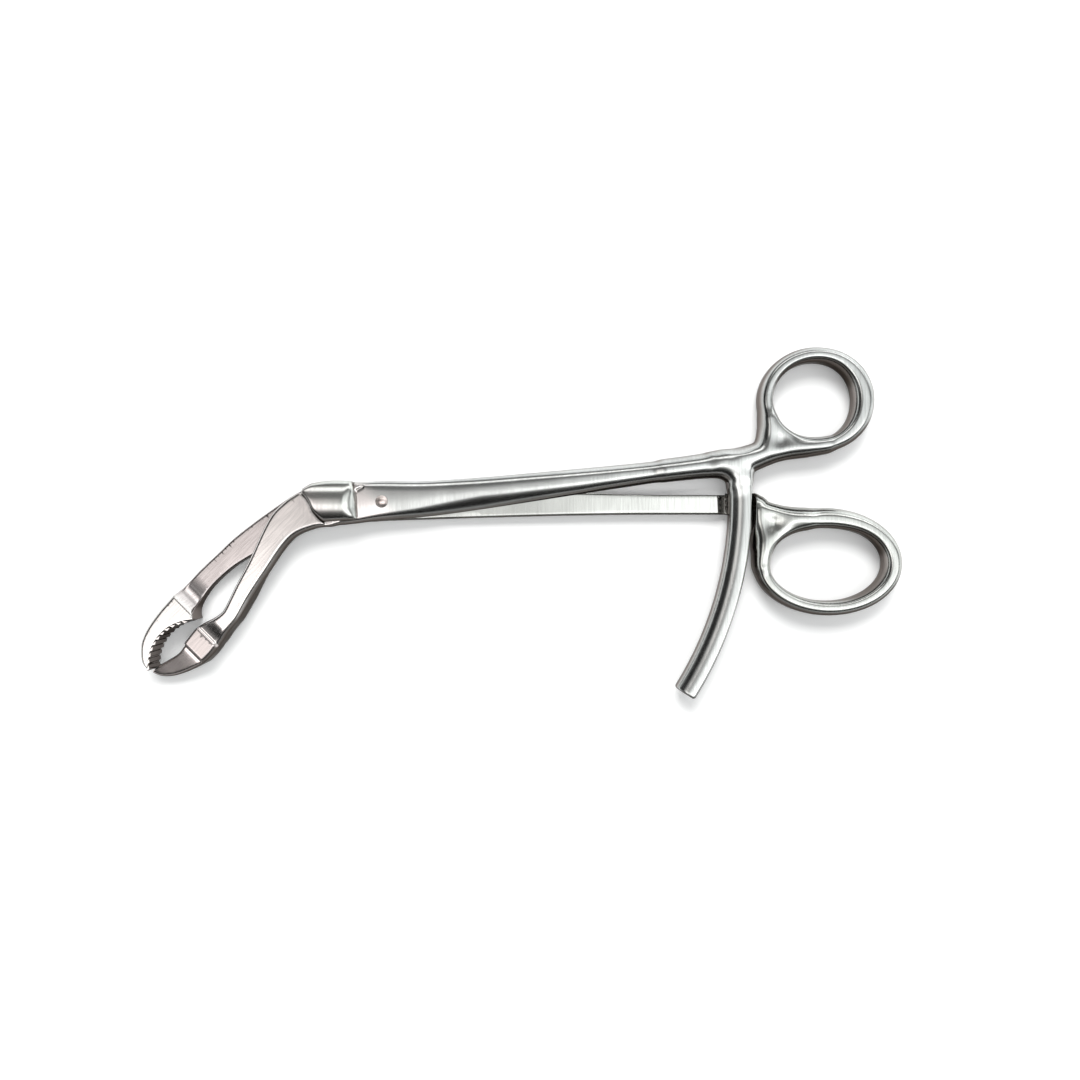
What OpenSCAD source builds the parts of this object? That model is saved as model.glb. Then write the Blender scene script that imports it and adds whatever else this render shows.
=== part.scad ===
// Bone holding forceps with angled interlocking jaws, a lap joint held by a lug, and a curved ratchet.
// The pivot's axis is Z at the origin, the shanks run along +X and the closed tool lies on z = 0.

/* [Joint] */
// Thickness of the layer that each arm has at the joint
layer_t = 3.8; // [3:0.1:5]
// Gap between the two layers
lap_gap = 0.1; // [0.05:0.01:0.2]
// Width of both arms across the pivot
arm_w = 9.6; // [8.5:0.1:11]
// Thickness of the ratchet arm's plate where the lug laps over it
plate_t = 3.1; // [2.4:0.1:3.6]
// Distance from the pivot to the lug's end that faces the rings
lug_near = 6.2; // [5:0.1:7]
// Distance from the pivot to the lug's end that faces the jaws
lug_far = 19.4; // [17:0.1:22]
// Height of the lug's domed roof over the plate
lug_rise = 2.8; // [2:0.1:3.5]
// Radius of the roof's dome across the arm
lug_dome_r = 8; // [7:0.1:12]
// Thickness of the web that carries the lug
web_t = 2.8; // [2:0.1:3.5]
// Radius of the round shoulder that turns inside the web's end
boss_r = 8.1; // [7.5:0.1:9]
// Side clearance between the arm that turns and the web and lug
side_gap = 0.15; // [0.08:0.01:0.3]
// Diameter of the pivot stud
stud_d = 3; // [2.4:0.1:4]
// Running clearance between the stud and the ratchet arm, on the radius
stud_gap = 0.05; // [0.02:0.01:0.1]
// Height of the stud's domed end
stud_dome = 0.7; // [0.4:0.1:1.2]

/* [Jaws] */
// Angle by which the jaws turn down from the shanks' line
jaw_angle = 45; // [35:1:50]
// Length of the jaws along their own line, from the lug to the tips
jaw_len = 57.4; // [48:0.2:66]
// Width of the jaws' shanks
jaw_w = 5; // [4.5:0.1:6]
// Height of the jaws' heads
head_h = 7.6; // [7.2:0.1:9]
// Radius of the toothed hollow in the lock arm's jaw
hollow_r = 10.9; // [10:0.1:12]
// Number of teeth in the hollow
tooth_count = 10; // [6:1:14]
// Depth of the teeth in the hollow
tooth_depth = 0.45; // [0.2:0.05:0.8]
// Width of the polished bevel along the jaws' upper edges
bevel_w = 0.9; // [0.4:0.1:1.4]

/* [Ratchet] */
// Distance from the pivot to the bar's inner side
ratchet_r = 85.6; // [78:0.2:96]
// Width of the curved bar
bar_w = 5.5; // [4.5:0.1:6.5]
// Height of the curved bar
bar_h = 4.2; // [3.6:0.1:4.6]
// Angle below the shanks' line at which the bar ends
bar_end = 32.4; // [26:0.2:36]
// Height of the bar's toothed underside over the resting plane
bar_z = 3; // [2.8:0.1:3.4]
// Distance between the ratchet's teeth along the bar
ratchet_pitch = 1.5; // [1.2:0.1:2.5]
// Depth of the ratchet's teeth
ratchet_depth = 0.4; // [0.2:0.05:0.6]
// Number of teeth on the lock arm's ratchet pad
pad_teeth = 3; // [2:1:3]

/* [Shanks] */
// Width of the ratchet arm's shank beside the ratchet
shank_w = 5.1; // [4.5:0.1:6]
// Slope of the ratchet arm's shank, as rise over run
shank_slope = 0.127; // [0.112:0.003:0.148]
// Width of the lock arm's flat strip beside the ratchet
strip_w = 4.9; // [4:0.1:5.6]

/* [Rings] */
// Height of both finger rings
ring_h = 7.4; // [6.6:0.1:8]
// Width of the rings' rod
rod_w = 3.7; // [3:0.1:4.5]
// Length of the single finger's opening
thumb_l = 21.4; // [20:0.2:26]
// Width of the single finger's opening
thumb_w = 18.8; // [17:0.2:22]
// Extra width of the single ring's rod on its far side
thumb_swell = 1.6; // [0:0.1:2.5]
// Length of the two fingers' opening
finger_l = 29.2; // [27:0.2:34]
// Width of the two fingers' opening
finger_w = 18.6; // [17:0.2:22]
// Extra width of the long ring's rod on its far side
finger_swell = 0.7; // [0:0.1:2]

/* [Hidden] */
$fn = 64;
steel = [0.80, 0.79, 0.78];
polished_steel = [0.88, 0.86, 0.84];
// Small overlap that lets cuts run past a face
past = 1;
// Levels of the laps, from the resting plane up
lap_low = layer_t - lap_gap / 2;
lap_high = layer_t + lap_gap / 2;
plate_top = lap_high + plate_t;
lug_low = plate_top + lap_gap;
lug_top = lug_low + lug_rise;
web_y = arm_w / 2 - web_t + 0.1;
pad_crest = bar_z - lap_gap;
pad_top = pad_crest - ratchet_depth;
bar_r = ratchet_r + bar_w;
// Points in each rounded corner, and steps between two stations
corner_points = 5;
steps = 3;
// Rounding of the arms' lower edges, and the smallest rounding of the upper ones
under_round = 0.4;
least_round = 0.08;
// Shares of the jaw's length between which the hollow has teeth, and how far the teeth stand into it
teeth_from = 0.72;
teeth_to = 0.965;
tooth_crest = 0.3;
// Length of the slot in the ratchet arm's jaw that takes the lug
lug_slot = 10.4;
// Slope of the lug's end that faces the rings, in degrees from the plate
lug_slope = 48;
// Overhang of the pad's recess past the bar on each side, and the angle that it covers
pad_room = 2.4;
pad_angle = 16;
// Angle above the shanks' line at which the bar starts inside the junction
bar_start = 7;
// Height of the bar's straight sides
bar_side = 0.8;
// Radius of the fillet between the shank and the bar
fillet = 2.2;
// Extra width on top of the long ring's rod, where the neck runs into it
brow = 1.4;

// Jaw end of the lug, out from its furthest point, and the same edge of its slot
lug_edge = [[0, 2], [1, 1.1], [1.9, -0.3], [2.7, -2.3], [3.9, -3.8], [5.2, -arm_w / 2 - 0.3]];

// Places of the rings' centres, out from the ratchet bar
thumb_centre = [ratchet_r + 11 + thumb_l / 2, 15.8 + thumb_w / 2];
finger_centre = [ratchet_r + 10 + finger_l / 2, -5.9 - finger_w / 2];

// The hollow's centre, as a share of the jaw's length and a distance across the closing line
hollow_at = [0.825 * jaw_len, 1.1 - hollow_r];

// Point at a distance along the jaws' line and a distance across it
function jaw_at(along, across) = [
    -lug_far - along * cos(jaw_angle) - across * sin(jaw_angle),
    -along * sin(jaw_angle) + across * cos(jaw_angle)
];

// Line of the ratchet arm's shank, level at the pivot and sloped beyond it
function shank_mid(x) = shank_slope * (sqrt(pow(x - arm_w, 2) + pow(arm_w, 2)) + x - arm_w) / 2;
function taper(wide, thin, x, length, power) =
    thin + (wide - thin) * pow(max(0, 1 - max(0, x) / length), power);
function shank_half(x) = taper(arm_w, shank_w, x, 0.84 * ratchet_r, 1.15) / 2;
function strip_mid(x) = -0.65 * min(1, max(0, x) / (0.8 * ratchet_r));
function strip_half(x) = taper(arm_w - 0.2, strip_w, x, 0.8 * ratchet_r, 1.4) / 2;

// A station holds its upper edge, lower edge, underside, top, and the upper and lower edges' roundings
function shank_station(x, low, high, round_up, round_down) = [
    [x, shank_mid(x) + shank_half(x)], [x, shank_mid(x) - shank_half(x)], low, high, round_up, round_down
];
function strip_station(x, low, high, round_up, round_down) = [
    [x, strip_mid(x) + strip_half(x)], [x, strip_mid(x) - strip_half(x)], low, high, round_up, round_down
];

// Station across a jaw: share of the length, inner edge, width as a share of the jaw's, side, levels
function rise(share) = mix(lap_low, head_h, share);
function jaw_station(share, inner, width, side, low, high, bevel, round_out) =
    side > 0
    ? [jaw_at(share * jaw_len, inner + width * jaw_w), jaw_at(share * jaw_len, inner),
        low, high, [round_out, round_out], [bevel, bevel]]
    : [jaw_at(share * jaw_len, inner), jaw_at(share * jaw_len, inner - width * jaw_w),
        low, high, [bevel, bevel], [round_out, round_out * 1.4]];

// Smooth curve through the stations' edges, with straight runs between their levels
function bend(p, q, r, s, t) =
    0.5 * (2 * q + (r - p) * t + (2 * p - 5 * q + 4 * r - s) * t * t + (3 * q - p - 3 * r + s) * t * t * t);
function mix(a, b, t) = a + (b - a) * t;
function between(rows, i, t) =
    let (p = rows[max(i - 1, 0)], q = rows[i], r = rows[i + 1], s = rows[min(i + 2, len(rows) - 1)])
    [bend(p[0], q[0], r[0], s[0], t), bend(p[1], q[1], r[1], s[1], t),
        mix(q[2], r[2], t), mix(q[3], r[3], t), mix(q[4], r[4], t), mix(q[5], r[5], t)];
function smooth_stations(rows) = [
    for (i = [0:len(rows) - 2]) for (j = [0:steps - 1]) between(rows, i, j / steps),
    rows[len(rows) - 1]
];

// Outline of one station, walked up the upper edge, across the top and down the lower edge
function section(station) =
    let (
        up = station[0], across = station[1] - station[0], wide = norm(across), dir = across / wide,
        low = station[2], high = station[3], edge = min(under_round, wide / 4),
        most = [0.48 * wide, high - low - edge - least_round],
        ru = [for (i = [0, 1]) max(least_round, min(station[4][i], most[i]))],
        rd = [for (i = [0, 1]) max(least_round, min(station[5][i], most[i]))],
        flat = concat(
            [[edge, low], [0, low + edge]],
            [for (i = [0:corner_points - 1]) let (a = 90 * i / (corner_points - 1))
                [ru[0] * (1 - cos(a)), high - ru[1] * (1 - sin(a))]],
            [for (i = [0:corner_points - 1]) let (a = 90 - 90 * i / (corner_points - 1))
                [wide - rd[0] * (1 - cos(a)), high - rd[1] * (1 - sin(a))]],
            [[wide, low + edge], [wide - edge, low]]
        )
    )
    [for (p = flat) [up[0] + dir[0] * p[0], up[1] + dir[1] * p[0], p[1]]];

// Closed skin over a row of outlines that all have the same number of points
module skin(outlines, closed = false) {
    n = len(outlines[0]);
    m = len(outlines);
    last = closed ? m - 1 : m - 2;
    sides = [
        for (i = [0:last]) for (j = [0:n - 1])
            let (a = i * n + j, b = i * n + (j + 1) % n, c = ((i + 1) % m) * n + j, d = ((i + 1) % m) * n + (j + 1) % n)
            each [[a, d, b], [a, c, d]]
    ];
    ends = closed ? [] : [[for (j = [0:n - 1]) j], [for (j = [n - 1:-1:0]) (m - 1) * n + j]];
    polyhedron(points = [for (outline = outlines) each outline], faces = concat(sides, ends));
}

// Outline of a rod at a point, with half its width along the unit vector out and half its height
function rod_outline(mid, out, half, level, tall) =
    let (count = 12)
    [for (j = [0:count - 1])
        let (b = -360 * (j + 0.5) / count, r = half * cos(b))
        [mid[0] + out[0] * r, mid[1] + out[1] * r, level + tall * sin(b) / cos(180 / count)]];

// Rod bent round an oval opening, with a dip and extra width on its upper side and a swell on its far side
module finger_ring(centre, length, width, dip, swell, over) {
    around = 44;
    skin([
        for (i = [0:around - 1])
            let (
                a = 360 * i / around,
                sag = dip * exp(-pow((a - 85) / 32, 2)),
                more = over * exp(-pow((a - 92) / 40, 2)),
                wide = rod_w + swell * pow(max(0, cos(a)), 2),
                mid = [
                    (length + rod_w) / 2 * cos(a) - (wide - rod_w) / 2,
                    (width + rod_w) / 2 * sin(a) - sag + more / 2
                ],
                normal = [cos(a) * (width + rod_w), sin(a) * (length + rod_w)]
            )
            rod_outline(centre + mid, normal / norm(normal), (wide + more) / 2, ring_h / 2, ring_h / 2)
    ], closed = true);
}

// Round limb through rows that hold a point, half the width, the middle's level and half the height
module limb(rows) {
    smooth = concat(
        [for (i = [0:len(rows) - 2]) let (p = rows[max(i - 1, 0)], q = rows[i], r = rows[i + 1],
            s = rows[min(i + 2, len(rows) - 1)]) for (j = [0:steps - 1]) bend(p, q, r, s, j / steps)],
        [rows[len(rows) - 1]]
    );
    last = len(smooth) - 1;
    skin([for (i = [0:last])
        let (way = smooth[min(i + 1, last)] - smooth[max(i - 1, 0)], out = [way[1], -way[0]] / norm([way[0], way[1]]))
        rod_outline([smooth[i][0], smooth[i][1]], out, smooth[i][2], smooth[i][3], smooth[i][4])]);
}

// Lug's plan
module lug_plan() {
    top = arm_w / 2 + 0.25;
    polygon(concat(
        [for (p = lug_edge) [p[0] - lug_far, p[1]]],
        [
            [-lug_near, -arm_w / 2 + 0.3], [-lug_near + 0.4, -2.1], [-lug_near + 0.1, 0.4], [-lug_near - 0.4, 2.5],
            [-lug_near - 1, top], [-lug_far + 7.4, top + 0.1], [-lug_far + 4.6, top - 0.2],
            [-lug_far + 2.2, top - 0.7], [-lug_far + 0.2, 3.1]
        ]
    ));
}

// Lock arm: toothed jaw, bottom layer with the web and lug, flat strip, ratchet pad and long finger ring
module lock_arm() {
    color(steel)
    difference() {
        union() {
            skin([for (station = smooth_stations(lock_stations)) section(station)]);
            lug();
            finger_ring(finger_centre, finger_l, finger_w, 0.7, finger_swell, brow);
            finger_neck();
        }
        gripping_hollow();
        pad_recess();
        translate([0, 0, -past]) cylinder(d = stud_d, h = layer_t + 2 * past);
    }
    color(steel) ratchet_pad();
}

// Stations of the lock arm's jaw and strip, from the tip to the ratchet
lock_stations = concat(
    [
        jaw_station(0.977, -2.6, 0.10, 1, 0.5, head_h - 0.5, 0, 0.3),
        jaw_station(0.970, -2.6, 0.50, 1, 0, head_h, 0, 0.6),
        jaw_station(0.941, -2.6, 0.94, 1, 0, head_h, 0, 0.7),
        jaw_station(0.902, -2.6, 1.28, 1, 0, head_h, 0, 0.7),
        jaw_station(0.845, -2.6, 1.51, 1, 0, head_h, 0, 0.7),
        jaw_station(0.767, -2.6, 1.66, 1, 0, head_h, 0, 0.7),
        jaw_station(0.700, -2.5, 1.69, 1, 0, head_h, 0, 0.7),
        jaw_station(0.690, -2.0, 1.60, 1, 0, head_h, 0, 0.7),
        jaw_station(0.680, -1.1, 1.43, 1, 0, head_h, 0, 0.7),
        jaw_station(0.674, -0.6, 1.34, 1, 0, head_h, 0, 0.7),
        jaw_station(0.664, -0.05, 1.23, 1, 0, rise(0.80), 0, 0.6),
        jaw_station(0.652, 0.38, 1.15, 1, 0, rise(0.58), 0, 0.6),
        jaw_station(0.638, 0.7, 1.1, 1, 0, rise(0.38), 0, 0.5),
        jaw_station(0.620, 1.0, 1.06, 1, 0, rise(0.20), 0, 0.5),
        jaw_station(0.598, 1.3, 1.02, 1, 0, rise(0.07), 0, 0.4),
        jaw_station(0.555, 1.7, 0.97, 1, 0, lap_low, 0, 0.4),
        jaw_station(0.500, 1.75, 0.96, 1, 0, lap_low, 0, 0.4),
        jaw_station(0.423, 1.4, 1.00, 1, 0, lap_low, 0, 0.4),
        jaw_station(0.331, 0.2, 1.21, 1, 0, lap_low, 0, 0.4),
        jaw_station(0.209, -2.0, 1.48, 1, 0, lap_low, 0, 0.4),
        jaw_station(0.105, -4.0, 1.68, 1, 0, lap_low, 0, 0.4),
        jaw_station(0.026, -6.4, 1.98, 1, 0, lap_low, 0, 0.4)
    ],
    [
        [[-lug_far + 1.9, arm_w / 2 - 0.6], [-lug_far + 6.4, -arm_w / 2 - 0.6], 0, lap_low, [0.3, 0.3], [0.3, 0.3]],
        [[-lug_far + 7.4, arm_w / 2 + 0.2], [-lug_far + 9.9, -arm_w / 2 - 0.5], 0, lap_low, [0.3, 0.3], [0.3, 0.3]],
        [[-lug_near, arm_w / 2], [-lug_near, -arm_w / 2 - 0.3], 0, lap_low, [0.3, 0.3], [0.3, 0.3]]
    ],
    [for (share = [0:0.1:1]) strip_station(share * (ratchet_r + 2), 0, lap_low, [0.3, 0.3], [0.3, 0.3])]
);

// Domed lug over the plate, and the web that joins it to the bottom layer
module lug() {
    intersection() {
        translate([0, 0, lug_low]) linear_extrude(lug_rise + past) lug_plan();
        translate([-lug_far - past, 0, lug_top - lug_dome_r]) rotate([0, 90, 0])
            cylinder(r = lug_dome_r, h = lug_far + past);
        translate([-lug_near - 0.3, -arm_w, lug_low + 0.2]) rotate([0, lug_slope, 0])
            translate([-2 * lug_far, 0, -lug_far]) cube([2 * lug_far, 2 * arm_w, lug_far]);
    }
    translate([0, 0, past]) linear_extrude(lug_low + 0.8 - past) difference() {
        intersection() {
            lug_plan();
            translate([-lug_far - past, web_y + side_gap]) square([lug_far, arm_w]);
        }
        circle(boss_r + side_gap);
    }
}

// Round hollow with sawteeth in the lock arm's jaw
module gripping_hollow() {
    first = acos(max(-1, min(1, (teeth_from * jaw_len - hollow_at[0]) / hollow_r)));
    last = acos(max(-1, min(1, (teeth_to * jaw_len - hollow_at[0]) / hollow_r)));
    pitch = (first - last) / tooth_count;
    translate(concat(jaw_at(hollow_at[0], hollow_at[1]), -past)) rotate([0, 0, 180 + jaw_angle])
        linear_extrude(head_h + 2 * past) {
            circle(hollow_r);
            for (i = [0:tooth_count - 1])
                rotate(-(last + pitch * i))
                    polygon([
                        [hollow_r - tooth_crest, 0],
                        [hollow_r + tooth_depth, 0],
                        [(hollow_r - tooth_crest) * cos(pitch), -(hollow_r - tooth_crest) * sin(pitch)]
                    ]);
        }
}

// Recess round the pivot in which the ratchet bar swings over the strip
module pad_recess() {
    rotate_extrude(angle = pad_angle, start = -pad_angle / 2)
        translate([ratchet_r - pad_room, pad_top]) square([bar_w + 1.25 * pad_room, head_h]);
}

// Small sawteeth on the strip under the bar
module ratchet_pad() {
    turn = ratchet_pitch / (ratchet_r + bar_w / 2) * 180 / PI;
    for (i = [0:pad_teeth - 1])
        rotate([0, 0, -turn * (i - 0.5)]) translate([ratchet_r - 0.5, 0, pad_top]) rotate([90, 0, 90])
            linear_extrude(bar_w + 1)
                polygon([[0, -0.3], [0, ratchet_depth], [ratchet_pitch * 0.8, 0], [ratchet_pitch * 0.8, -0.3]]);
}

// Neck between the ratchet pad and the long ring: a thin web between two limbs that run into the ring
module finger_neck() {
    edge = finger_centre[0] - finger_l / 2;
    translate([0, 0, 0.6]) linear_extrude(ring_h - 2.2)
        polygon([
            [ratchet_r + 1, 1.9], [bar_r + 0.3, 1.7], [edge - 3.3, 0.6], [edge - 1.6, -0.6],
            [edge + 1, -1.2], [edge + 7, -2.3], [edge + 9, -4.5], [edge + 1, -8.5], [edge - 2, -12.5],
            [edge - 3.6, -9.5], [edge - 4, -7], [edge - 4.5, -4.8], [bar_r, -3.2], [ratchet_r + 1, -3.1]
        ]);
    limb([
        [ratchet_r + 2, -0.6, 2.2, 3.1, 2.5], [bar_r + 1.6, -0.5, 2.1, 3.4, 3.0], [edge - 1.5, -1.8, 2.0, 3.6, 3.4],
        [edge + 3, -3.2, 1.9, 3.7, 3.6], [edge + 9, -4.1, 1.8, 3.7, 3.6]
    ]);
    limb([
        [ratchet_r + 2, -0.9, 2.0, 3.1, 2.5], [bar_r + 1, -1.7, 2.0, 3.3, 2.9], [bar_r + 2.2, -4.6, 1.8, 3.6, 3.3],
        [edge - 1.7, -8.8, 1.6, 3.7, 3.5], [edge - 1.7, -12.5, 1.5, 3.7, 3.5]
    ]);
}

// Ratchet arm: smooth jaw, plate under the lug, shank, curved toothed bar and single finger ring
module ratchet_arm() {
    color(polished_steel)
    difference() {
        union() {
            skin([for (station = smooth_stations(ratchet_stations)) section(station)]);
            finger_ring(thumb_centre, thumb_l, thumb_w, 0, thumb_swell, 0);
            ratchet_bar();
            junction();
        }
        translate([0, 0, lap_low]) cylinder(d = stud_d + 2 * stud_gap, h = layer_t + past);
        lug_clearance();
    }
}

// Stations of the ratchet arm's jaw and shank, from the tip to the junction
ratchet_stations = concat(
    [
        jaw_station(0.997, -2.6, 0.12, -1, 0.6, 3.0, 0.2, 0.3),
        jaw_station(0.979, -2.7, 0.52, -1, 0.1, 3.4, 0.3, 0.8),
        jaw_station(0.946, -3.0, 0.82, -1, 0, 3.8, 0.3, 1),
        jaw_station(0.908, -3.6, 0.96, -1, 0, 4.2, 0.3, 1),
        jaw_station(0.854, -4.4, 1.06, -1, 0, 4.8, 0.3, 1),
        jaw_station(0.815, -4.3, 1.22, -1, 0, 5.2, 0.3, 1),
        jaw_station(0.796, -4.1, 1.34, -1, 0, 5.3, 0.3, 1),
        jaw_station(0.790, -4.0, 1.36, -1, 0, 6.8, 0.3, 1.2),
        jaw_station(0.745, -3.65, 1.43, -1, 0, 6.9, 0.3, 1.3),
        jaw_station(0.704, -3.45, 1.40, -1, 0, 6.9, 0.3, 1.3),
        jaw_station(0.698, -3.5, 1.37, -1, 0, 6.4, 0.3, 1.2),
        jaw_station(0.684, -3.65, 1.33, -1, 0, 6.5, 0.4, 1.2),
        jaw_station(0.664, -3.95, 1.24, -1, 0, 6.8, 0.7, 1.2),
        jaw_station(0.644, -4.35, 1.11, -1, 0, 7.2, bevel_w, 1.2),
        jaw_station(0.622, -4.8, 0.98, -1, 0, 7.5, bevel_w, 1.2),
        jaw_station(0.584, -5.2, 0.86, -1, 0, head_h, bevel_w, 1.2),
        jaw_station(0.552, -4.9, 0.87, -1, 0, head_h, bevel_w, 1.2),
        jaw_station(0.462, -3.1, 0.96, -1, 0, head_h, bevel_w, 1.4),
        jaw_station(0.383, -1.7, 1.04, -1, 0.55 * lap_high, head_h, bevel_w, 1.4),
        jaw_station(0.319, -0.5, 1.14, -1, lap_high, head_h, bevel_w, 1.4),
        jaw_station(0.202, 2.0, 1.38, -1, lap_high, head_h, bevel_w, 1.4),
        jaw_station(0.122, 3.2, 1.62, -1, lap_high, head_h, bevel_w, 1.4),
        jaw_station(0.045, 3.1, 1.98, -1, lap_high, head_h, bevel_w, 1.4),
        jaw_station(0.010, 2.7, 2.20, -1, lap_high, head_h, bevel_w, 1.4)
    ],
    [
        [[-lug_far + 2.4, arm_w / 2 - 0.5], [-lug_far + 6.9, -arm_w / 2 - 1.4], lap_high, head_h, [0.6, 0.6], [1.3, 1.8]],
        [[-lug_far + 6.6, arm_w / 2], [-lug_far + 8.8, -arm_w / 2 - 1], lap_high, head_h, [0.6, 0.6], [1.3, 1.8]],
        [[-lug_far + 9.6, arm_w / 2], [-lug_far + 10.2, -arm_w / 2 - 0.9], lap_high, plate_top, [1, 1], [1.3, 1.8]],
        [[-lug_near, arm_w / 2], [-lug_near + 0.4, -arm_w / 2 - 0.5], lap_high, plate_top, [1, 1], [1.3, 1.8]]
    ],
    [
        shank_station(0, lap_high, plate_top, [1.9, 1.2], [1.4, 2]),
        shank_station(0.12 * ratchet_r, lap_high, plate_top, [1.9, 1.3], [1.9, 2.4]),
        shank_station(0.28 * ratchet_r, lap_high, plate_top, [1.9, 1.4], [3.2, 2.6]),
        shank_station(0.42 * ratchet_r, lap_high, plate_top, [2, 1.6], [4, 2.7]),
        shank_station(0.58 * ratchet_r, lap_high, plate_top, [2.2, 2.4], [4, 2.7]),
        shank_station(0.70 * ratchet_r, 0.75 * lap_high, plate_top, [2.4, 2.6], [3, 3]),
        shank_station(0.84 * ratchet_r, 0.4 * lap_high, plate_top, [2.4, 2.6], [2.6, 3]),
        shank_station(0.90 * ratchet_r, 0.3 * lap_high, plate_top, [2.4, 2.6], [2.6, 3]),
        shank_station(1.01 * ratchet_r, 0.4 * lap_high, plate_top, [2.4, 2.6], [2.6, 3])
    ]
);

// What the lug, the web and their clearances take away from the ratchet arm
module lug_clearance() {
    translate([0, 0, plate_top]) linear_extrude(head_h) polygon(concat(
        [[-lug_far - side_gap, arm_w]],
        [for (p = lug_edge) [p[0] - lug_far - side_gap, p[1] - side_gap]],
        [[lug_slot - lug_far - 2, -arm_w], [lug_slot - lug_far, -arm_w], [lug_slot - lug_far, arm_w]]
    ));
    translate([0, 0, -past]) linear_extrude(head_h + 2 * past) difference() {
        translate([-lug_far - 8, web_y]) square([lug_far + 8, arm_w]);
        circle(boss_r);
    }
}

// Curved bar with a flat toothed underside and a round top
module ratchet_bar() {
    top_points = 12;
    turn = ratchet_pitch / (ratchet_r + bar_w / 2) * 180 / PI;
    difference() {
        rotate_extrude(angle = bar_end + bar_start, start = -bar_end)
            polygon(concat(
                [[ratchet_r, bar_z], [bar_r, bar_z]],
                [for (i = [0:top_points]) let (a = 180 * i / top_points)
                    [ratchet_r + bar_w / 2 * (1 + cos(a)), bar_z + bar_side + (bar_h - bar_side) * sin(a)]]
            ));
        for (i = [0:floor((bar_end - 1) / turn)])
            rotate([0, 0, -turn * (i - 0.5)]) translate([ratchet_r - past, 0, bar_z]) rotate([90, 0, 90])
                linear_extrude(bar_w + 2 * past)
                    polygon([[0, -0.1], [0, ratchet_depth], [ratchet_pitch * 0.85, -0.1]]);
    }
}

// Junction of the shank, the bar and the single ring: a filleted web with limbs that run into each
module junction() {
    edge = thumb_centre[0] - thumb_l / 2;
    mid = shank_mid(ratchet_r);
    low = mid - shank_half(ratchet_r);
    translate([0, 0, 0.8]) linear_extrude(plate_top - 1.2)
        polygon(concat(
            [[0.94 * ratchet_r, mid + 1], [ratchet_r + 2.5, mid + 2.8], [edge - 4.5, mid + 3.8], [edge - 3.2, mid + 5.3],
                [edge - 2.7, mid + 8], [edge + 1, thumb_centre[1] - 5.8], [edge + 8, 14.6], [edge + 13, 14],
                [edge + 8, 12], [edge + 3.5, 11], [edge - 1.5, 9.8], [edge - 4, 8], [bar_r - 0.2, 6],
                [bar_r - 0.3, 3.5], [ratchet_r + 0.2, 3.5]],
            [for (i = [0:5]) let (a = 18 * i)
                [ratchet_r - fillet + fillet * cos(a), low - fillet - 0.2 + fillet * sin(a)]],
            [[0.94 * ratchet_r, low + 1]]
        ));
    limb([
        [0.9 * ratchet_r, shank_mid(0.9 * ratchet_r), 2.1, 4, 2.8], [ratchet_r, mid, 2.6, 3.8, 3.2],
        [edge - 3.2, mid + 1.6, 2.6, 3.7, 3.5], [edge + 2, mid + 2.9, 2.2, 3.7, 3.6], [edge + 8, 13.1, 1.9, 3.7, 3.6],
        [edge + 13, 13.9, 1.5, 3.7, 3.5]
    ]);
    limb([
        [ratchet_r, mid, 2.3, 3.8, 3.1], [edge - 3.4, mid + 2.2, 2.4, 3.7, 3.4], [edge - 1.2, mid + 5.4, 2.1, 3.7, 3.6],
        [edge - 1.4, thumb_centre[1] - 5, 1.7, 3.7, 3.5]
    ]);
}

// Stud pressed into the lock arm, with a domed end over the ratchet arm
module pivot_stud() {
    dome_r = (pow(stud_d / 2, 2) + pow(stud_dome, 2)) / (2 * stud_dome);
    straight = plate_top + 0.1;
    color(polished_steel)
    union() {
        cylinder(d = stud_d, h = straight);
        intersection() {
            translate([0, 0, straight + stud_dome - dome_r]) sphere(dome_r);
            translate([0, 0, straight - 0.5]) cylinder(d = stud_d, h = stud_dome + past);
        }
    }
}

lock_arm();
ratchet_arm();
pivot_stud();
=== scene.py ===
from functools import partial
from math import acos, cos, degrees, exp, pi, radians, sin, sqrt

import bpy
import numpy as np
import openvdb
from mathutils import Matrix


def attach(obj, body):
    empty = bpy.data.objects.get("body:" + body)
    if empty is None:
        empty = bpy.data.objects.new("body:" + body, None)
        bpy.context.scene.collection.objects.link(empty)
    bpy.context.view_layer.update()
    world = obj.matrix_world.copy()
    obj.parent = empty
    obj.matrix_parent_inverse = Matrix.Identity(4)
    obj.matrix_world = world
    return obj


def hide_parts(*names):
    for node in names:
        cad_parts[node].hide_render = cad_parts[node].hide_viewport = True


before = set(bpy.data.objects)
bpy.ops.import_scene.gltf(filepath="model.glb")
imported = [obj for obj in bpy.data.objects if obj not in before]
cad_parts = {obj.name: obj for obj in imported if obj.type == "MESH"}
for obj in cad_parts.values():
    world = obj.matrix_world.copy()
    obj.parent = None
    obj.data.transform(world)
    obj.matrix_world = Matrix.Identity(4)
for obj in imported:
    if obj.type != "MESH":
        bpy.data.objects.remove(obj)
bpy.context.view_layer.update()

# sizes that the arms share, in millimetres, the same as in the part's source
forceps = {
    "lapLow": 3.75, "lapHigh": 3.85, "plateTop": 6.95, "lugLow": 7.05, "lugTop": 9.85,
    "armW": 9.6, "lugNear": 6.2, "lugFar": 19.4, "lugDomeR": 8.0, "webY": 2.1, "bossR": 8.1, "sideGap": 0.15,
    "jawAngle": 45, "jawLen": 57.4, "jawW": 5.0, "headH": 7.6, "bevelW": 0.9,
    "ratchetR": 85.6, "barW": 5.5, "barH": 4.2, "barEnd": 32.4, "barZ": 3.0, "pitch": 1.5, "toothDeep": 0.4,
    "shankW": 5.1, "slope": 0.127, "stripW": 4.9, "ringH": 7.4, "rodW": 3.7,
}
lapLow, lapHigh, plateTop = forceps["lapLow"], forceps["lapHigh"], forceps["plateTop"]
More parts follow.
